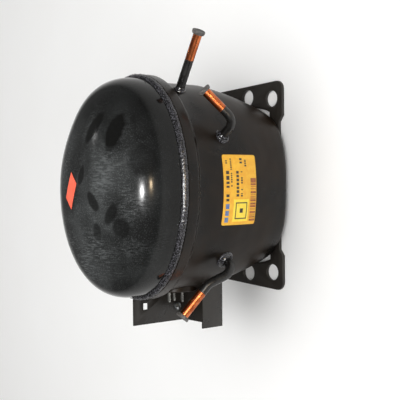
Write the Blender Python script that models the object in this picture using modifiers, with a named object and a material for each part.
"""Hermetic reciprocating compressor: welded steel can, sprung pump and motor inside, three tube stubs.

Frame: metres, +Z up along the shaft, -Y the front with the label, +X the discharge end.
The origin is on the shaft axis at the flat bottom of the lower shell.
"""

import math

import bmesh
import bpy
from mathutils import Matrix, Vector

# ---------------------------------------------------------------- driving dimensions (metres)
GAP = 0.0003                # assembly gap between touching pieces
SEGMENTS = 40               # facets round the can

# Can
SHEET = 0.003               # deep-drawn steel sheet
WALL_A = 0.0965             # half length of the can at its straight wall, along X
WALL_B = 0.0705             # half depth of the can at its straight wall, along Y
BOTTOM_A = 0.0735
BOTTOM_B = 0.0555
BOTTOM_N = 2.8              # squareness of the bottom outline; 2 is an ellipse
WALL_N = 2.05
BOTTOM_EDGE = 0.0030        # rounding of the bottom edge
BOSS_DEPTH = 0.0006         # the boss pressed down in the middle of the bottom
BOSS_CLEAR = 0.0040         # between the boss and the feet's tabs
TAPER_TOP = 0.074           # height at which the bowl's taper ends
TAPER_POWER = 1.2
FLARE_START = 0.119         # top of the straight wall
FLARE_HEIGHT = 0.0085
FLARE = 0.006               # how far the collar stands out of the wall
COLLAR_HEIGHT = 0.0095      # straight part of the collar, above the flare
SKIRT_DEPTH = 0.0055        # how far the upper shell reaches into the collar
DOME_RISE = 0.0546
DOME_POWER = 2.7
BEAD_HEIGHT = 0.0043
FLARE_TOP = FLARE_START + FLARE_HEIGHT
COLLAR_TOP = FLARE_TOP + COLLAR_HEIGHT
SKIRT_BOTTOM = COLLAR_TOP - SKIRT_DEPTH
DOME_START = COLLAR_TOP + BEAD_HEIGHT + 0.0001
SKIRT_OUT = FLARE - SHEET - GAP     # the upper shell's skirt stands out of the wall by this

# Feet
FOOT_SHEET = 0.003
MOUNT_X = 0.170             # hole spacing across the can
MOUNT_Y = 0.070             # hole spacing front to back
MOUNT_HOLE = 0.016
SPARE_HOLE_OUT = 0.0030     # the extra hole half way along each foot stands this much further out
SPARE_HOLE_Y = -0.001
FOOT_FRONT_MARGIN = 0.0173  # from a front hole's centre to the foot's outer edge
FOOT_REAR_MARGIN = 0.0115
FOOT_END_MARGIN = 0.0146    # from a hole's centre to the foot's front and rear edges
FOOT_CORNER = 0.008
FOOT_CLEAR = 0.0040         # crescent gap between a foot and the can
FOOT_TAB_REACH = 0.0265     # how far the tabs reach in under the can's bottom edge
FOOT_TAB_WIDTH = 0.012
FOOT_TAB_STEP = 0.0045      # the tabs stand back from the front and rear edges

# Tube stubs: outer diameter, then the route of the centre line. A route starts on the can's outside, at
# the given distance along X and height, and its other points are offsets from there.
SUCTION_OD, DISCHARGE_OD, PROCESS_OD = 0.0084, 0.0080, 0.0080
TUBE_WALL = 0.0009
BEND = 0.011                # bend radius of the tube centre lines
TUBE_INSIDE = 0.011         # length of each stub inside the can
SUCTION_START = (-0.0665, 0.0765)
SUCTION_OFFSETS = ((-0.0085, -0.0132, -0.0015), (-0.0200, -0.0042, 0.0235), (-0.0483, 0.0058, 0.0455))
DISCHARGE_START = (0.0878, 0.1105)
DISCHARGE_OFFSETS = ((0.048204, -0.02781, 0.0),)
PROCESS_START = (0.0453, 0.0883)
PROCESS_OFFSETS = ((0.0117, -0.0159, -0.0013), (0.0392, -0.0039, 0.0237))
CAP_DEPTH = 0.0020          # how far a cap reaches over its tube
CAP_END = 0.0012
CAP_WALL = 0.0012
CAP_FLANGE = 0.0019         # how far the flange stands out of the tube

# Terminal and its fence
TERMINAL_Z = 0.094
TERMINAL_R = 0.0155
PAD_R = 0.0205
PAD_PROUD = 0.0010          # the flat pad pressed into the wall stands this far out
PAD_BACK = 0.0009           # and this far behind the wall's inside at the pad's edge
PIN_R = 0.0016
PIN_CIRCLE = 0.0072
PIN_OUTSIDE = 0.0110        # pin length outside the pad
PIN_INSIDE = 0.0060
PLUG_GRIP = 0.0035          # how far the inner plug reaches over the pins
GLASS_R = 0.0034
FENCE_SHEET = 0.0015
FENCE_REACH = 0.0353        # how far the fence stands out of the wall
FENCE_Y = 0.0285
FENCE_BOTTOM = 0.0600
FENCE_RISE = 0.0040         # top of the rear wall above the start of the flare
FENCE_FRONT_TOP = 0.0840
FENCE_WINDOW = (0.0172, 0.0140, 0.0062, 0.0055)     # distance in from the edge, down from the top, width, height

# Suspension
SPRING_INSET_X, SPRING_INSET_Y = 0.0080, 0.0105     # spring axes inside the stator's sides
SPRING_R = 0.0062
SPRING_WIRE = 0.0008
SPRING_TURNS = 4.5
STUD_R = 0.0042
STUD_HEIGHT = 0.0100
SEAT_R = 0.0074
SEAT_HEIGHT = 0.0040
SEAT_PEG = 0.0080

# Motor
STATOR_HALF = 0.0450
STATOR_BOTTOM = 0.0380
STATOR_HEIGHT = 0.0450
STATOR_CHAMFER = 0.0100
STATOR_RING = 0.0190        # iron between the stator's bore and its sides
AIR_GAP = 0.0008
WINDING_WIDTH, WINDING_STEP = 0.0090, 0.0020
WINDING_HEIGHT = 0.0155
ROTOR_RING = 0.0050
BOLT_R = 0.0022
BOLT_INSET = 0.0085         # stator bolts inside the stator's sides

# Crank mechanism
SHAFT_R = 0.0080
SHAFT_BELOW = 0.0120        # how far the shaft reaches below the stator
CRANK_R = 0.0080            # throw of the crank pin
CRANK_PIN_R = 0.0060
ROD_LENGTH = 0.0420
ROD_THICK = 0.0100
BIG_END_WALL = 0.0045
SMALL_END_WALL = 0.0026
GUDGEON_R = 0.0028
GUDGEON_CLEAR = 0.0014      # the loop is open here: the rod's small end has this play round its pin
SWING = math.radians(45)    # the crank's travel each way from mid stroke
BORE_R = 0.0125
PISTON_CLEAR = 0.0003
PISTON_BACK, PISTON_FRONT = 0.0080, 0.0100
CYLINDER_WALL = 0.0075
CYLINDER_STEP = 0.0020      # between the cylinder body and the top of the block's plate
HEAD_ROOM = 0.0011          # between the piston at the top of its stroke and the end of the cylinder
PLATE_THICK = 0.0080
HUB_R, HUB_LENGTH = 0.0150, 0.0150
LEG, LEG_LENGTH = 0.0140, 0.0200
WEB_ROOM, WEB_THICK = 0.0035, 0.0060
WEB_STEP = 0.0005           # the counterweight is thinner than the web by this on each face
COUNTERWEIGHT_R = 0.0210

# Valves, head and mufflers
VALVE_PLATE = 0.0030
REED = 0.0004
REED_SIZE = (0.36, 0.72, 1.36)      # offset from the cylinder's axis, width and length, as shares of the bore
PORT_R = 0.0030
HEAD_DEPTH = 0.0110
HEAD_WALL = 0.0035
HEAD_BOLT_R = 0.0020
HEAD_BOLT_INSET = 0.0040
MUFFLER_SIZE = (0.0300, 0.0240, 0.0320)
MUFFLER_BACK = 0.0045       # the suction muffler ends this far behind the cylinder's end
CHAMBER_R, CHAMBER_HEIGHT = 0.0115, 0.0280
SIDE_ROOM = 0.0020          # between the block and a muffler
LOOP_R = 0.0022

# Label and sticker
LABEL_X, LABEL_HALF_X = -0.0028, 0.0313
LABEL_Z = (0.0520, 0.0936)
TRIM = 0.0004
STICKER_CENTRE = (-0.0023, 0.0180)
STICKER_LONG = (-0.0228, 0.0098)
STICKER_SHORT = (-0.0102, -0.0100)


# ---------------------------------------------------------------- places worked out from the sizes above
FOOT_FRONT_X = MOUNT_X / 2 + FOOT_FRONT_MARGIN
FOOT_REAR_X = MOUNT_X / 2 + FOOT_REAR_MARGIN
FOOT_HALF_Y = MOUNT_Y / 2 + FOOT_END_MARGIN
FENCE_REAR_TOP = FLARE_START + FENCE_RISE
STATOR_TOP = STATOR_BOTTOM + STATOR_HEIGHT
STATOR_BORE_R = STATOR_HALF - STATOR_RING
SPRING_X, SPRING_Y = STATOR_HALF - SPRING_INSET_X, STATOR_HALF - SPRING_INSET_Y
BOLT_PITCH = STATOR_HALF - BOLT_INSET
WINDING_IN_R = STATOR_BORE_R + WINDING_STEP
WINDING_OUT_R = WINDING_IN_R + WINDING_WIDTH
SHAFT_BOTTOM = STATOR_BOTTOM - SHAFT_BELOW
PLATE_Z = STATOR_TOP + LEG_LENGTH
PLATE_TOP = PLATE_Z + PLATE_THICK
HUB_BOTTOM = PLATE_Z - HUB_LENGTH
WEB_Z = PLATE_TOP + WEB_ROOM
BLOCK_HALF = BORE_R + CYLINDER_WALL             # half size of the square cylinder body
CYLINDER_Z = PLATE_TOP + CYLINDER_STEP + BLOCK_HALF
REED_SIDE, REED_WIDTH, REED_LENGTH = (share * BORE_R for share in REED_SIZE)
ROD_LEAN = math.asin(CRANK_R * (1 + math.cos(SWING)) / 2 / ROD_LENGTH)
PISTON_X = ROD_LENGTH * math.cos(ROD_LEAN)      # gudgeon pin at rest
CYLINDER_START = COUNTERWEIGHT_R + 0.003
CYLINDER_END = PISTON_X + PISTON_FRONT + CRANK_R + HEAD_ROOM
HEAD_BOLT_PITCH = BLOCK_HALF - HEAD_BOLT_INSET
TAB_X = BOTTOM_A - BOTTOM_EDGE - FOOT_TAB_REACH
BOSS_A = TAB_X - BOSS_CLEAR
BOSS_B = BOSS_A * BOTTOM_B / BOTTOM_A
FLOOR = BOSS_DEPTH + SHEET                      # inside of the can's bottom


# ---------------------------------------------------------------- scene, materials, collections
def clear_scene():
    for obj in list(bpy.data.objects):
        bpy.data.objects.remove(obj, do_unlink=True)


def make_collection(name):
    collection = bpy.data.collections.new(name)
    bpy.context.scene.collection.children.link(collection)
    return collection


clear_scene()
PARTS = make_collection("hermetic_compressor")
CUTTERS = make_collection("cutters")


def make_material(name, colour, roughness, metallic):
    material = bpy.data.materials.new(name)
    material.use_nodes = True
    shader = material.node_tree.nodes["Principled BSDF"]
    shader.inputs["Base Color"].default_value = (*colour, 1.0)
    shader.inputs["Roughness"].default_value = roughness
    shader.inputs["Metallic"].default_value = metallic
    return material


MATERIALS = {
    "black_paint": make_material("black_paint", (0.012, 0.011, 0.010), 0.28, 0.0),
    "steel": make_material("steel", (0.42, 0.41, 0.40), 0.38, 1.0),
    "cast_iron": make_material("cast_iron", (0.16, 0.155, 0.15), 0.60, 1.0),
    "copper": make_material("copper", (0.72, 0.27, 0.12), 0.30, 1.0),
    "winding": make_material("winding", (0.45, 0.16, 0.06), 0.45, 0.4),
    "grey_rubber": make_material("grey_rubber", (0.16, 0.18, 0.20), 0.75, 0.0),
    "plastic": make_material("plastic", (0.62, 0.60, 0.55), 0.50, 0.0),
    "glass": make_material("glass", (0.05, 0.12, 0.10), 0.15, 0.0),
    "aluminium": make_material("aluminium", (0.60, 0.61, 0.62), 0.40, 1.0),
    "label": make_material("label", (0.95, 0.50, 0.04), 0.45, 0.0),
    "sticker": make_material("sticker", (0.85, 0.10, 0.04), 0.60, 0.0),
}


# ---------------------------------------------------------------- helpers
def add_object(name, data, material, collection=PARTS):
    obj = bpy.data.objects.new(name, data)
    collection.objects.link(obj)
    if material:
        data.materials.append(MATERIALS[material])
    if collection is CUTTERS:
        obj.hide_render = True
        obj.display_type = "WIRE"
    return obj


def smooth(obj, angle=35):
    obj.data.shade_smooth()
    obj.data.set_sharp_from_angle(angle=math.radians(angle))


def mesh_from_bmesh(name, bm):
    mesh = bpy.data.meshes.new(name)
    bm.to_mesh(mesh)
    bm.free()
    return mesh


def turned(name, profile, material, location=(0, 0, 0), axis=(0, 0, 1), steps=24, collection=PARTS, closed=False):
    """A turned piece: profile is (radius, height) down the outer side; closed joins its last point to its first."""
    mesh = bpy.data.meshes.new(name)
    points = [(r, 0, z) for r, z in profile]
    edges = [(i, i + 1) for i in range(len(points) - 1)]
    if closed:
        edges.append((len(points) - 1, 0))
    mesh.from_pydata(points, edges, [])
    obj = add_object(name, mesh, material, collection)
    screw = obj.modifiers.new("turn", "SCREW")
    screw.steps = steps
    screw.render_steps = steps
    screw.use_merge_vertices = True
    screw.merge_threshold = 0.00001
    screw.use_smooth_shade = True
    obj.location = location
    obj.rotation_mode = "QUATERNION"
    obj.rotation_quaternion = Vector((0, 0, 1)).rotation_difference(Vector(axis))
    return obj


def rod(name, radius, start, end, material, steps=16, collection=PARTS):
    start, end = Vector(start), Vector(end)
    length = (end - start).length
    profile = [(0, length), (radius, length), (radius, 0), (0, 0)]
    return turned(name, profile, material, start, (end - start).normalized(), steps, collection)


def ring(name, outer, inner, low, high, material, location=(0, 0, 0), axis=(0, 0, 1), steps=24, collection=PARTS):
    profile = [(outer, high), (outer, low), (inner, low), (inner, high)]
    return turned(name, profile, material, location, axis, steps, collection, closed=True)


def box(name, low, high, material, collection=PARTS, origin=None):
    low, high = Vector(low), Vector(high)
    origin = Vector(origin) if origin else (low + high) / 2
    bm = bmesh.new()
    bmesh.ops.create_cube(bm, size=1.0)
    bmesh.ops.scale(bm, vec=high - low, verts=bm.verts)
    bmesh.ops.translate(bm, vec=(low + high) / 2 - origin, verts=bm.verts)
    obj = add_object(name, mesh_from_bmesh(name, bm), material, collection)
    obj.location = origin
    return obj


def bevel(obj, width, segments=1):
    modifier = obj.modifiers.new("bevel", "BEVEL")
    modifier.width = width
    modifier.segments = segments
    return modifier


def boolean(obj, other, operation="DIFFERENCE"):
    modifier = obj.modifiers.new(operation.lower() + "_" + other.name, "BOOLEAN")
    modifier.operation = operation
    modifier.object = other
    return modifier


def plate(name, outlines, middle, thickness, material):
    """A flat piece cut from sheet: the first outline is its edge, the others are holes."""
    curve = bpy.data.curves.new(name, "CURVE")
    curve.dimensions = "2D"
    curve.fill_mode = "BOTH"
    curve.extrude = thickness / 2
    for outline in outlines:
        spline = curve.splines.new("POLY")
        spline.points.add(len(outline) - 1)
        for point, (x, y) in zip(spline.points, outline):
            point.co = (x, y, 0, 1)
        spline.use_cyclic_u = True
    obj = add_object(name, curve, material)
    obj.location = (0, 0, middle)
    return obj


def to_mesh(obj, collection=None):
    """The curve object made a mesh with its caps welded, so that it takes Booleans."""
    bpy.context.view_layer.update()
    graph = bpy.context.evaluated_depsgraph_get()
    mesh = bpy.data.meshes.new_from_object(obj.evaluated_get(graph))
    bm = bmesh.new()
    bm.from_mesh(mesh)
    bmesh.ops.remove_doubles(bm, verts=bm.verts, dist=0.000002)
    bmesh.ops.recalc_face_normals(bm, faces=bm.faces)
    bm.to_mesh(mesh)
    bm.free()
    name, matrix, home = obj.name, obj.matrix_world.copy(), collection or obj.users_collection[0]
    bpy.data.objects.remove(obj, do_unlink=True)
    solid = add_object(name, mesh, None, home)
    solid.matrix_world = matrix
    return solid


def wire(name, points, radius, material, resolution=2, collection=PARTS):
    curve = bpy.data.curves.new(name, "CURVE")
    curve.dimensions = "3D"
    curve.bevel_depth = radius
    curve.bevel_resolution = resolution
    curve.use_fill_caps = True
    spline = curve.splines.new("POLY")
    spline.points.add(len(points) - 1)
    for point, place in zip(spline.points, points):
        point.co = (*place, 1)
    return add_object(name, curve, material, collection)


def circle(x, y, radius, count=24):
    turn = 2 * math.pi / count
    return [(x + radius * math.cos(turn * i), y + radius * math.sin(turn * i)) for i in range(count)]


def fillet(before, corner, after, radius, count=5):
    """Points of the arc that rounds a corner of a route or an outline."""
    before, corner, after = Vector(before), Vector(corner), Vector(after)
    u, v = (before - corner).normalized(), (after - corner).normalized()
    half = u.angle(v) / 2
    reach = min(radius / math.tan(half), 0.49 * (before - corner).length, 0.49 * (after - corner).length)
    radius = reach * math.tan(half)
    centre = corner + (u + v).normalized() * (radius / math.sin(half))
    start, end = corner + u * reach, corner + v * reach
    sweep = math.pi - 2 * half
    points = []
    for i in range(count + 1):
        share = i / count
        along = ((start - centre) * math.sin((1 - share) * sweep) + (end - centre) * math.sin(share * sweep))
        points.append(tuple(centre + along / math.sin(sweep)))
    return points


def bent_route(corners, radius=BEND):
    points = [tuple(corners[0])]
    for i in range(1, len(corners) - 1):
        points += fillet(corners[i - 1], corners[i], corners[i + 1], radius)
    points.append(tuple(corners[-1]))
    return points


# ---------------------------------------------------------------- the can's outlines
def superellipse(a, b, n, count=SEGMENTS):
    points = []
    for i in range(count):
        angle = 2 * math.pi * i / count
        c, s = math.cos(angle), math.sin(angle)
        points.append((a * math.copysign(abs(c) ** (2 / n), c), b * math.copysign(abs(s) ** (2 / n), s)))
    return points


def wall_outline(z):
    """Half length, half depth and squareness of the can's outside below its collar."""
    if z >= TAPER_TOP:
        return WALL_A, WALL_B, WALL_N
    share = (1 - ((TAPER_TOP - z) / TAPER_TOP) ** TAPER_POWER) ** (1 / TAPER_POWER)
    blend = lambda low, high: low + (high - low) * share
    return blend(BOTTOM_A, WALL_A), blend(BOTTOM_B, WALL_B), blend(BOTTOM_N, WALL_N)


def wall_x(y, z):
    """Where the can's outside stands at this depth and height."""
    a, b, n = wall_outline(z)
    return a * (1 - abs(y / b) ** n) ** (1 / n)


def wall_y(x, z):
    """Where the can's front stands at this distance along X and height."""
    a, b, n = wall_outline(z)
    return -b * (1 - abs(x / a) ** n) ** (1 / n)


def route_from(start, offsets):
    """A stub's centre line from the can's outside to its free end."""
    x, z = start
    first = Vector((x, wall_y(x, z), z))
    return [tuple(first)] + [tuple(first + Vector(offset)) for offset in offsets]


def dome_height(x, y):
    reach = math.hypot(x / (WALL_A + SKIRT_OUT), y / (WALL_B + SKIRT_OUT))
    return DOME_START + DOME_RISE * (1 - reach ** DOME_POWER) ** (1 / DOME_POWER)


def lofted(name, sections, material, closed=False, thickness=0.0):
    """Sections are (z, half length, half depth, squareness), top or bottom end closed by a face when not closed."""
    bm = bmesh.new()
    rows = []
    for z, a, b, n in sections:
        rows.append([bm.verts.new((x, y, z)) for x, y in superellipse(a, b, n)])
    pairs = list(zip(rows, rows[1:]))
    if closed:
        pairs.append((rows[-1], rows[0]))
    for lower, upper in pairs:
        for i in range(SEGMENTS):
            j = (i + 1) % SEGMENTS
            bm.faces.new((lower[i], lower[j], upper[j], upper[i]))
    if not closed:
        bm.faces.new(rows[0])
    bmesh.ops.recalc_face_normals(bm, faces=bm.faces)
    obj = add_object(name, mesh_from_bmesh(name, bm), material)
    if thickness:
        solidify = obj.modifiers.new("sheet", "SOLIDIFY")
        solidify.thickness = thickness
        solidify.offset = -1
        solidify.use_even_offset = True
    smooth(obj)
    return obj


SUCTION_ROUTE = route_from(SUCTION_START, SUCTION_OFFSETS)
DISCHARGE_ROUTE = route_from(DISCHARGE_START, DISCHARGE_OFFSETS)
PROCESS_ROUTE = route_from(PROCESS_START, PROCESS_OFFSETS)
PAD_OUT = WALL_A + PAD_PROUD
PAD_IN = wall_x(PAD_R, TERMINAL_Z) - SHEET - PAD_BACK
FENCE_X = WALL_A + FENCE_REACH


# ---------------------------------------------------------------- can
def bottom_sections():
    """Outside of the lower shell, bottom to top."""
    sections = [(BOSS_DEPTH, BOTTOM_A - BOTTOM_EDGE, BOTTOM_B - BOTTOM_EDGE, BOTTOM_N)]
    levels = [BOTTOM_EDGE * 0.5] + [TAPER_TOP * share for share in (0.11, 0.23, 0.38, 0.56, 0.76, 1)]
    for z in levels + [FLARE_START]:
        sections.append((z, *wall_outline(z)))
    middle = (FLARE_START + FLARE_TOP) / 2
    for z, out in ((middle, FLARE * 0.35), (FLARE_TOP, FLARE), (COLLAR_TOP, FLARE)):
        sections.append((z, WALL_A + out, WALL_B + out, WALL_N))
    return sections


def tube_hole(name, route, diameter):
    """Cutter for a stub's hole: it runs along the stub's first leg, through the wall only."""
    start, corner = Vector(route[0]), Vector(route[1])
    along = (corner - start).normalized()
    return rod(name, diameter / 2 + GAP, start - along * 0.014, start + along * 0.010, None, 20, CUTTERS)


def make_shells():
    lower = lofted("lower_shell", bottom_sections(), "black_paint", thickness=SHEET)
    boss_height = BOSS_DEPTH + 0.001
    boss = plate("bottom_boss", [superellipse(BOSS_A, BOSS_B, BOTTOM_N)], boss_height / 2, boss_height, None)
    boolean(lower, to_mesh(boss, CUTTERS), "UNION")
    pad = rod("terminal_pad", PAD_R, (-PAD_IN, 0, TERMINAL_Z), (-PAD_OUT, 0, TERMINAL_Z), None, 32, CUTTERS)
    boolean(lower, pad, "UNION")
    bore = rod("terminal_bore", TERMINAL_R + GAP, (-PAD_IN + 0.01, 0, TERMINAL_Z),
               (-PAD_OUT - 0.01, 0, TERMINAL_Z), None, 24, CUTTERS)
    boolean(lower, bore)
    for name, route, diameter in (
        ("suction_hole", SUCTION_ROUTE, SUCTION_OD),
        ("discharge_hole", DISCHARGE_ROUTE, DISCHARGE_OD),
        ("process_hole", PROCESS_ROUTE, PROCESS_OD),
    ):
        boolean(lower, tube_hole(name, route, diameter))
    a, b = WALL_A + SKIRT_OUT, WALL_B + SKIRT_OUT
    sections = []
    for degrees in (86, 80, 72, 62, 50, 38, 26, 14):
        angle = math.radians(degrees)
        reach, rise = math.cos(angle) ** (2 / DOME_POWER), math.sin(angle) ** (2 / DOME_POWER)
        sections.append((DOME_START + DOME_RISE * rise, a * reach, b * reach, WALL_N))
    sections += [(DOME_START, a, b, WALL_N), (SKIRT_BOTTOM, a, b, WALL_N)]
    lofted("upper_shell", sections, "black_paint", thickness=SHEET)
    inner = FLARE - SHEET
    bead = ((inner, 0), (FLARE + 0.0003, 0), (FLARE - 0.0002, 0.5), (FLARE - 0.0014, 0.85), (inner, 1))
    low = COLLAR_TOP + GAP
    lofted("weld_seam", [(low + BEAD_HEIGHT * h, WALL_A + o, WALL_B + o, WALL_N) for o, h in bead],
           "black_paint", closed=True)


# ---------------------------------------------------------------- feet
def crescent_edge():
    """The foot's inner edge: the can's bottom outline moved out, between the two tabs."""
    points = superellipse(BOTTOM_A + FOOT_CLEAR, BOTTOM_B + FOOT_CLEAR, BOTTOM_N, 72)
    limit = FOOT_HALF_Y - FOOT_TAB_STEP - FOOT_TAB_WIDTH
    return sorted(((x, y) for x, y in points if x > 0 and abs(y) < limit), key=lambda p: p[1])


def foot_outline():
    front, rear = (FOOT_FRONT_X, -FOOT_HALF_Y), (FOOT_REAR_X, FOOT_HALF_Y)
    step = FOOT_HALF_Y - FOOT_TAB_STEP
    slot = step - FOOT_TAB_WIDTH
    shoulder = BOTTOM_A - BOTTOM_EDGE - 0.0025
    tab_front = [(TAB_X, -slot), (TAB_X, -step), (shoulder - 0.006, -step), (shoulder, -FOOT_HALF_Y)]
    tab_rear = [(x, -y) for x, y in reversed(tab_front)]
    outline = list(tab_front)
    outline += [(p[0], p[1]) for p in fillet((*tab_front[-1], 0), (*front, 0), (*rear, 0), FOOT_CORNER)]
    outline += [(p[0], p[1]) for p in fillet((*front, 0), (*rear, 0), (*tab_rear[0], 0), FOOT_CORNER)]
    outline += tab_rear
    outline += list(reversed(crescent_edge()))
    return outline


def make_feet():
    spare = (MOUNT_X / 2 + SPARE_HOLE_OUT, SPARE_HOLE_Y)
    holes = [(MOUNT_X / 2, -MOUNT_Y / 2), spare, (MOUNT_X / 2, MOUNT_Y / 2)]
    for name, side in (("foot_right", 1), ("foot_left", -1)):
        outlines = [foot_outline()] + [circle(x, y, MOUNT_HOLE / 2) for x, y in holes]
        mirrored = [[(side * x, y) for x, y in outline] for outline in outlines]
        foot = plate(name, mirrored, BOSS_DEPTH - GAP - FOOT_SHEET / 2, FOOT_SHEET, "black_paint")
        smooth(to_mesh(foot))


# ---------------------------------------------------------------- tube stubs and caps
def make_stub(name, route, diameter):
    start, corner = Vector(route[0]), Vector(route[1])
    inner = start - (corner - start).normalized() * TUBE_INSIDE
    corners = [tuple(inner), *route[1:]] if len(route) > 2 else [tuple(inner), tuple(route[1])]
    last = (Vector(corners[-1]) - Vector(corners[-2])).normalized()
    points = bent_route(corners)
    stub = to_mesh(wire(name + "_tube", points, diameter / 2, "copper", 3))
    over = [tuple(Vector(points[0]) - (Vector(points[1]) - Vector(points[0])).normalized() * 0.001)]
    over += points[1:-1] + [tuple(Vector(points[-1]) + last * 0.001)]
    bore = to_mesh(wire(name + "_bore", over, diameter / 2 - TUBE_WALL, None, 3, CUTTERS), CUTTERS)
    boolean(stub, bore)
    smooth(stub)
    make_cap(name + "_cap", Vector(route[-1]), last, diameter / 2)


def make_cap(name, end, along, radius):
    """A rubber cap pushed over the tube's end; its origin is at the tube's end, on the tube's axis."""
    inner = radius + GAP
    sleeve = inner + CAP_WALL
    flange = radius + CAP_FLANGE
    profile = [(0, CAP_END), (flange - 0.0004, CAP_END), (flange, CAP_END - 0.0005), (flange, -0.0012),
               (sleeve, -0.0016), (sleeve, -CAP_DEPTH), (inner, -CAP_DEPTH), (inner, GAP), (0, GAP)]
    turned(name, profile, "grey_rubber", end, along, 20)


def make_tubes():
    make_stub("suction", SUCTION_ROUTE, SUCTION_OD)
    make_stub("discharge", DISCHARGE_ROUTE, DISCHARGE_OD)
    make_stub("process", PROCESS_ROUTE, PROCESS_OD)


# ---------------------------------------------------------------- terminal
def pin_places():
    for name, degrees in (("common", 90), ("start", 210), ("run", 330)):
        angle = math.radians(degrees)
        yield name, PIN_CIRCLE * math.cos(angle), TERMINAL_Z + PIN_CIRCLE * math.sin(angle)


def make_terminal():
    """A pressed steel cup held from inside by its flange, with three pins, each in its own glass bead."""
    face = PAD_OUT - 0.0010
    profile = [(0, face - PAD_IN), (TERMINAL_R, face - PAD_IN), (TERMINAL_R, -GAP), (TERMINAL_R + 0.003, -GAP),
               (TERMINAL_R + 0.003, -0.0025), (TERMINAL_R - 0.002, -0.0025), (TERMINAL_R - 0.002, 0.0055),
               (0, 0.0055)]
    header = turned("terminal_header", profile, "steel", (-PAD_IN, 0, TERMINAL_Z), (-1, 0, 0), 20)
    depth = PAD_IN + 0.0055
    pin_in = PAD_IN - PIN_INSIDE
    for name, y, z in pin_places():
        hole = rod("bead_hole_" + name, GLASS_R + GAP, (-depth + 0.002, y, z), (-face - 0.002, y, z), None, 12, CUTTERS)
        boolean(header, hole)
        ring("glass_bead_" + name, GLASS_R, PIN_R + GAP, depth - 0.0005, face - 0.0002, "glass",
             (0, y, z), (-1, 0, 0), 12)
        rod("terminal_pin_" + name, PIN_R, (-pin_in, y, z), (-PAD_OUT - PIN_OUTSIDE, y, z), "steel", 8)
    half = PIN_CIRCLE + 0.0043
    plug = box("terminal_plug", (-pin_in - PLUG_GRIP, -half, TERMINAL_Z - half),
               (-pin_in + 0.0045, half, TERMINAL_Z + half), "plastic")
    bevel(plug, 0.0015, 1)
    for name, y, z in pin_places():
        socket = rod("plug_socket_" + name, PIN_R + GAP, (-pin_in - 0.006, y, z), (-pin_in + 0.001, y, z),
                     None, 12, CUTTERS)
        boolean(plug, socket)


def make_fence():
    """A bracket bent up from sheet: tall rear wall, floor and low front wall, its inner edge following the can."""
    inner = -wall_x(FENCE_Y, FENCE_BOTTOM) + 0.020
    rear = box("terminal_fence", (-FENCE_X, FENCE_Y - FENCE_SHEET, FENCE_BOTTOM), (inner, FENCE_Y, FENCE_REAR_TOP),
               "black_paint")
    floor = box("fence_floor", (-FENCE_X, -FENCE_Y, FENCE_BOTTOM), (inner, FENCE_Y, FENCE_BOTTOM + FENCE_SHEET),
                None, CUTTERS)
    front = box("fence_front", (-FENCE_X, -FENCE_Y, FENCE_BOTTOM), (inner, FENCE_SHEET - FENCE_Y, FENCE_FRONT_TOP),
                None, CUTTERS)
    boolean(rear, floor, "UNION")
    boolean(rear, front, "UNION")
    inset, drop, width, tall = FENCE_WINDOW
    out, height = FENCE_X - inset, FENCE_REAR_TOP - drop
    window = box("fence_window", (-out - width / 2, FENCE_Y - 0.004, height - tall / 2),
                 (-out + width / 2, FENCE_Y + 0.004, height + tall / 2), None, CUTTERS)
    boolean(rear, window)
    body = lofted("fence_can_cut", [(z, a + GAP, b + GAP, n) for z, a, b, n in fence_cut_sections()], None)
    bm = bmesh.new()
    bm.from_mesh(body.data)
    bmesh.ops.contextual_create(bm, geom=[e for e in bm.edges if e.is_boundary])
    bmesh.ops.recalc_face_normals(bm, faces=bm.faces)
    bm.to_mesh(body.data)
    bm.free()
    PARTS.objects.unlink(body)
    CUTTERS.objects.link(body)
    body.hide_render = True
    body.display_type = "WIRE"
    boolean(rear, body)
    screw_z = FENCE_BOTTOM + FENCE_SHEET + 0.010
    profile = [(0, 0.0035), (0.0040, 0.0030), (0.0040, 0), (0, 0)]
    turned("earth_screw", profile, "steel", (-FENCE_X + 0.014, FENCE_Y - FENCE_SHEET - GAP, screw_z), (0, -1, 0), 12)


def fence_cut_sections():
    """The can's outside where the fence meets it."""
    levels = (FENCE_BOTTOM - 0.002, (FENCE_BOTTOM + TAPER_TOP) / 2, TAPER_TOP, FLARE_START)
    sections = [(z, *wall_outline(z)) for z in levels]
    return sections + [(FENCE_REAR_TOP + 0.002, WALL_A + FLARE * 0.7, WALL_B + FLARE * 0.7, WALL_N)]


# ---------------------------------------------------------------- suspension
def corner_places():
    for i, (sx, sy) in enumerate(((1, -1), (1, 1), (-1, 1), (-1, -1)), start=1):
        yield i, sx, sy


def make_suspension():
    spring_low = FLOOR + 2 * GAP + 0.001 + SPRING_WIRE
    spring_high = STATOR_BOTTOM - SEAT_HEIGHT - 2 * GAP - SPRING_WIRE
    count = int(SPRING_TURNS * 7)
    for i, sx, sy in corner_places():
        x, y = sx * SPRING_X, sy * SPRING_Y
        stud = [(0, STUD_HEIGHT), (STUD_R - 0.001, STUD_HEIGHT), (STUD_R, STUD_HEIGHT - 0.0015), (STUD_R, 0.001),
                (SEAT_R, 0.001), (SEAT_R, 0), (0, 0)]
        turned(f"spring_stud_{i}", stud, "steel", (x, y, FLOOR + GAP), steps=16)
        coil = []
        for k in range(count + 1):
            angle = 2 * math.pi * SPRING_TURNS * k / count
            coil.append((x + SPRING_R * math.cos(angle), y + SPRING_R * math.sin(angle),
                         spring_low + (spring_high - spring_low) * k / count))
        wire(f"suspension_spring_{i}", coil, SPRING_WIRE, "steel", 1)
        top = STATOR_BOTTOM - GAP
        seat = [(0, 0), (SEAT_R, 0), (SEAT_R, -SEAT_HEIGHT), (STUD_R, -SEAT_HEIGHT),
                (STUD_R - 0.0008, -SEAT_HEIGHT - SEAT_PEG), (0, -SEAT_HEIGHT - SEAT_PEG)]
        turned(f"spring_seat_{i}", seat, "plastic", (x, y, top), steps=16)


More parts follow.
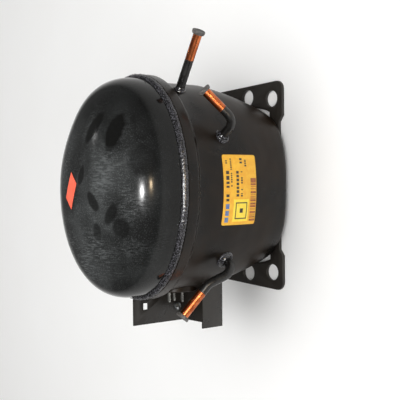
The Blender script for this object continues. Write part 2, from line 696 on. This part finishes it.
# ---------------------------------------------------------------- motor
def stator_outline():
    s, c = STATOR_HALF, STATOR_CHAMFER
    half = [(s, -s + c), (s, s - c), (s - c, s), (-s + c, s)]
    return half + [(-x, -y) for x, y in half]


def make_motor():
    middle = STATOR_BOTTOM + STATOR_HEIGHT / 2
    outlines = [stator_outline(), circle(0, 0, STATOR_BORE_R, 32)]
    outlines += [circle(sx * BOLT_PITCH, sy * BOLT_PITCH, BOLT_R + GAP, 8) for _, sx, sy in corner_places()]
    to_mesh(plate("stator_core", outlines, middle, STATOR_HEIGHT, "steel"))
    top = STATOR_TOP
    for name, low in (("winding_lower", STATOR_BOTTOM - GAP - WINDING_HEIGHT), ("winding_upper", top + GAP)):
        high, soft = low + WINDING_HEIGHT, 0.004
        profile = [(WINDING_OUT_R - soft, high), (WINDING_OUT_R, high - soft), (WINDING_OUT_R, low + soft),
                   (WINDING_OUT_R - soft, low), (WINDING_IN_R + soft, low), (WINDING_IN_R, low + soft),
                   (WINDING_IN_R, high - soft), (WINDING_IN_R + soft, high)]
        turned(name, profile, "winding", steps=20, closed=True)
    outer = STATOR_BORE_R - AIR_GAP
    low, high = STATOR_BOTTOM - ROTOR_RING, top + ROTOR_RING
    profile = [(outer - 0.003, high), (outer - 0.003, top), (outer, top), (outer, STATOR_BOTTOM),
               (outer - 0.003, STATOR_BOTTOM), (outer - 0.003, low), (SHAFT_R + GAP, low), (SHAFT_R + GAP, high)]
    turned("rotor_core", profile, "steel", steps=28, closed=True)
    for i, sx, sy in corner_places():
        x, y = sx * BOLT_PITCH, sy * BOLT_PITCH
        head = PLATE_TOP + GAP
        profile = [(0, head + 0.004), (0.004, head + 0.004), (0.004, head), (BOLT_R, head),
                   (BOLT_R, STATOR_BOTTOM + 0.001), (0, STATOR_BOTTOM + 0.001)]
        turned(f"stator_bolt_{i}", profile, "steel", (x, y, 0), steps=8)


# ---------------------------------------------------------------- crank mechanism
def make_block():
    """Cast block: plate and main bearing on four legs, with the cylinder body on top along +X."""
    half = STATOR_HALF
    block = box("cylinder_block", (-half, -half, PLATE_Z), (half, half, PLATE_TOP), "cast_iron")
    leg_low = STATOR_TOP + GAP
    pieces = [rod("hub_solid", HUB_R, (0, 0, HUB_BOTTOM), (0, 0, PLATE_Z + 0.004), None, 24, CUTTERS),
              box("cylinder_solid", (CYLINDER_START, -BLOCK_HALF, PLATE_Z + 0.004),
                  (CYLINDER_END, BLOCK_HALF, CYLINDER_Z + BLOCK_HALF), None, CUTTERS)]
    for i, sx, sy in corner_places():
        x, y = sorted((sx * half, sx * (half - LEG))), sorted((sy * half, sy * (half - LEG)))
        pieces.append(box(f"leg_solid_{i}", (x[0], y[0], leg_low), (x[1], y[1], PLATE_Z + 0.004), None, CUTTERS))
    for piece in pieces:
        boolean(block, piece, "UNION")
    holes = [rod("main_bore", SHAFT_R + GAP, (0, 0, HUB_BOTTOM - 0.01), (0, 0, PLATE_Z + 0.02), None, 24, CUTTERS),
             rod("cylinder_bore", BORE_R, (CYLINDER_START - 0.01, 0, CYLINDER_Z),
                 (CYLINDER_END + 0.01, 0, CYLINDER_Z), None, 32, CUTTERS)]
    for i, sx, sy in corner_places():
        x, y = sx * BOLT_PITCH, sy * BOLT_PITCH
        holes.append(rod(f"bolt_hole_{i}", BOLT_R + GAP, (x, y, leg_low - 0.01), (x, y, PLATE_Z + 0.02), None, 8,
                         CUTTERS))
    for name, y, z in head_bolt_places():
        holes.append(rod("block_thread_" + name, HEAD_BOLT_R + GAP, (CYLINDER_END - 0.012, y, z),
                         (CYLINDER_END + 0.01, y, z), None, 8, CUTTERS))
    for hole in holes:
        boolean(block, hole)


def make_crankshaft():
    """Shaft, web with counterweight and crank pin in one casting; its origin is on the shaft axis."""
    crank = turned("crankshaft", [(0, WEB_Z + 0.001), (SHAFT_R, WEB_Z + 0.001), (SHAFT_R, SHAFT_BOTTOM),
                                  (0, SHAFT_BOTTOM)], "cast_iron", steps=24)
    web = rod("web_solid", CRANK_PIN_R + 0.005, (0, -CRANK_R, WEB_Z), (0, -CRANK_R, WEB_Z + WEB_THICK), None, 20,
              CUTTERS)
    weight = rod("counterweight_solid", COUNTERWEIGHT_R, (0, 0, WEB_Z + WEB_STEP),
                 (0, 0, WEB_Z + WEB_THICK - WEB_STEP), None, 28, CUTTERS)
    wide = COUNTERWEIGHT_R + 0.01
    trim = box("counterweight_trim", (-wide, -wide, WEB_Z - 0.01), (wide, -0.002, WEB_Z + 0.02), None, CUTTERS)
    boolean(weight, trim)
    pin = rod("crank_pin_solid", CRANK_PIN_R, (0, -CRANK_R, WEB_Z + 0.001),
              (0, -CRANK_R, CYLINDER_Z + ROD_THICK / 2 + 0.002), None, 20, CUTTERS)
    for piece in (web, weight, pin):
        boolean(crank, piece, "UNION")
    inlet = [(0, 0.0075), (SHAFT_R - 0.001, 0.0075), (SHAFT_R - 0.001, 0.005), (0.0025, 0), (0, 0)]
    turned("oil_pickup", inlet, "steel", (0, 0, SHAFT_BOTTOM - GAP - 0.0075), steps=16)


def make_rod_and_piston():
    """Rod pivoted on the crank pin, and the piston with its pin; the rod's small end has play round that pin."""
    big_in, small_in = CRANK_PIN_R + GAP, GUDGEON_R + GUDGEON_CLEAR
    big_out, small_out = big_in + BIG_END_WALL, small_in + SMALL_END_WALL
    pivot = Vector((0, -CRANK_R, CYLINDER_Z))
    along = Vector((math.cos(ROD_LEAN), math.sin(ROD_LEAN), 0))
    small = pivot + along * ROD_LENGTH
    half = ROD_THICK / 2
    link = ring("connecting_rod", big_out, big_in, -half, half, "aluminium", pivot, steps=20)
    link.rotation_quaternion = Matrix.Rotation(ROD_LEAN, 3, "Z").to_quaternion()
    eye = ring("small_end_solid", small_out, small_in, -half + 0.001, half - 0.001, None, small, steps=20,
               collection=CUTTERS)
    shank_start, shank_end = big_out - 0.001, ROD_LENGTH - small_out + 0.001
    shank = box("shank_solid", (shank_start, -0.0030, -half + 0.0015), (shank_end, 0.0030, half - 0.0015), None,
                CUTTERS)
    shank.rotation_mode = "QUATERNION"
    shank.rotation_quaternion = Matrix.Rotation(ROD_LEAN, 3, "Z").to_quaternion()
    shank.location = pivot + along * (shank_start + shank_end) / 2
    boolean(link, eye, "UNION")
    boolean(link, shank, "UNION")
    centre = PISTON_X
    back, front = centre - PISTON_BACK, centre + PISTON_FRONT
    radius = BORE_R - PISTON_CLEAR
    slot_half = half + 0.0006
    piston = rod("piston", radius, (back, 0, CYLINDER_Z), (front, 0, CYLINDER_Z), "cast_iron", 32)
    side = BORE_R - 0.0027
    slot = box("piston_slot", (back - 0.01, -side, CYLINDER_Z - slot_half),
               (centre + small_out + GUDGEON_CLEAR + 0.0002, side, CYLINDER_Z + slot_half), None, CUTTERS)
    pin_hole = rod("piston_pin_hole", GUDGEON_R + GAP, (centre, 0, CYLINDER_Z - 0.02), (centre, 0, CYLINDER_Z + 0.02),
                   None, 16, CUTTERS)
    boolean(piston, slot)
    boolean(piston, pin_hole)
    reach = BORE_R - 0.0020
    rod("gudgeon_pin", GUDGEON_R, (centre, 0, CYLINDER_Z - reach), (centre, 0, CYLINDER_Z + reach), "steel", 16)


# ---------------------------------------------------------------- valves, head and mufflers
def head_bolt_places():
    for name, sy, sz in (("a", 1, 1), ("b", -1, 1), ("c", -1, -1), ("d", 1, -1)):
        yield name, sy * HEAD_BOLT_PITCH, CYLINDER_Z + sz * HEAD_BOLT_PITCH


def make_valves():
    plate_x = CYLINDER_END + GAP
    outer_x = plate_x + VALVE_PLATE
    low_z, high_z = CYLINDER_Z - BLOCK_HALF, CYLINDER_Z + BLOCK_HALF
    valve_plate = box("valve_plate", (plate_x, -BLOCK_HALF, low_z), (outer_x, BLOCK_HALF, high_z), "steel")
    head_x = outer_x + GAP
    cylinder_head = box("cylinder_head", (head_x, -BLOCK_HALF, low_z), (head_x + HEAD_DEPTH, BLOCK_HALF, high_z),
                        "aluminium")
    inset = HEAD_WALL + 0.0035
    plenum = box("head_plenum", (head_x - 0.01, -BLOCK_HALF + inset, low_z + inset),
                 (head_x + HEAD_DEPTH - HEAD_WALL, BLOCK_HALF - inset, high_z - inset), None, CUTTERS)
    boolean(cylinder_head, plenum)
    for name, side in (("suction", REED_SIDE), ("discharge", -REED_SIDE)):
        z = CYLINDER_Z - side
        port = rod(name + "_port", PORT_R, (plate_x - 0.01, side, z), (outer_x + 0.01, side, z), None, 12, CUTTERS)
        boolean(valve_plate, port)
    for name, y, z in head_bolt_places():
        hole = rod("head_bolt_hole_" + name, HEAD_BOLT_R + GAP, (plate_x - 0.005, y, z),
                   (head_x + HEAD_DEPTH + 0.01, y, z), None, 8, CUTTERS)
        boolean(valve_plate, hole)
        boolean(cylinder_head, hole)
        start = CYLINDER_END - 0.010
        length = head_x + HEAD_DEPTH + GAP - start
        profile = [(0, length + 0.003), (0.0034, length + 0.003), (0.0034, length), (HEAD_BOLT_R, length),
                   (HEAD_BOLT_R, 0), (0, 0)]
        turned("head_bolt_" + name, profile, "steel", (start, y, z), (1, 0, 0), 8)
    half = REED_LENGTH / 2
    reed_x = plate_x - GAP
    box("suction_reed", (reed_x - REED, REED_SIDE - REED_WIDTH / 2, CYLINDER_Z - half),
        (reed_x, REED_SIDE + REED_WIDTH / 2, CYLINDER_Z + half - 0.0035), "steel",
        origin=(reed_x - REED / 2, REED_SIDE, CYLINDER_Z + half - 0.0035))
    reed_x = outer_x + GAP
    box("discharge_reed", (reed_x, -REED_SIDE - REED_WIDTH / 2, CYLINDER_Z - half),
        (reed_x + REED, -REED_SIDE + REED_WIDTH / 2, CYLINDER_Z + half), "steel",
        origin=(reed_x + REED / 2, -REED_SIDE, CYLINDER_Z - half))


def make_mufflers():
    size = Vector(MUFFLER_SIZE)
    centre = Vector((CYLINDER_END - MUFFLER_BACK - size.x / 2, -BLOCK_HALF - SIDE_ROOM - size.y / 2, CYLINDER_Z))
    muffler = box("suction_muffler", centre - size / 2, centre + size / 2, "plastic")
    bevel(muffler, 0.004, 2)
    x, y = STATOR_HALF + 0.0090, BLOCK_HALF + SIDE_ROOM + CHAMBER_R + 0.0010
    low = CYLINDER_Z - CHAMBER_HEIGHT / 2
    high, soft = low + CHAMBER_HEIGHT, 0.004
    profile = [(0, high), (CHAMBER_R - soft, high), (CHAMBER_R, high - soft), (CHAMBER_R, low + soft),
               (CHAMBER_R - soft, low), (0, low)]
    turned("discharge_muffler", profile, "steel", (x, y, 0), steps=20)
    start, corner = Vector(DISCHARGE_ROUTE[0]), Vector(DISCHARGE_ROUTE[1])
    along = (corner - start).normalized()
    first = start - along * (TUBE_INSIDE + GAP)
    sag = PLATE_Z - 0.0095
    corners = [first, first - along * 0.007, Vector((x + 0.018, 0.005, sag)), Vector((x + 0.012, y - 0.0065, sag)),
               Vector((x + 0.001, y + 0.002, sag + 0.0025)), Vector((x, y, low - GAP))]
    wire("discharge_loop", bent_route([tuple(c) for c in corners], 0.009), LOOP_R, "copper", 2)


# ---------------------------------------------------------------- label and sticker
def sheet_patch(name, rows, material):
    """A thin skin over a grid of points, with its thickness outwards."""
    bm = bmesh.new()
    grid = [[bm.verts.new(point) for point in row] for row in rows]
    for lower, upper in zip(grid, grid[1:]):
        for i in range(len(lower) - 1):
            bm.faces.new((lower[i], lower[i + 1], upper[i + 1], upper[i]))
    obj = add_object(name, mesh_from_bmesh(name, bm), material)
    solidify = obj.modifiers.new("skin", "SOLIDIFY")
    solidify.thickness = TRIM
    solidify.offset = 1
    smooth(obj)
    return obj


def make_trim():
    rows = []
    for i in range(6):
        z = LABEL_Z[0] + (LABEL_Z[1] - LABEL_Z[0]) * i / 5
        row = []
        for k in range(13):
            x = LABEL_X + LABEL_HALF_X * (k / 6 - 1)
            row.append((x, wall_y(x, z) - GAP, z))
        rows.append(row)
    sheet_patch("rating_label", rows, "label")
    rows = []
    for i in range(4):
        row = []
        for k in range(6):
            u, v = k / 5 - 0.5, i / 3 - 0.5
            x = STICKER_CENTRE[0] + STICKER_LONG[0] * u + STICKER_SHORT[0] * v
            y = STICKER_CENTRE[1] + STICKER_LONG[1] * u + STICKER_SHORT[1] * v
            row.append((x, y, dome_height(x, y) + GAP))
        rows.append(row)
    sheet_patch("dome_sticker", rows, "sticker")


make_shells()
make_feet()
make_tubes()
make_terminal()
make_fence()
make_suspension()
make_motor()
make_block()
make_crankshaft()
make_rod_and_piston()
make_valves()
make_mufflers()
make_trim()
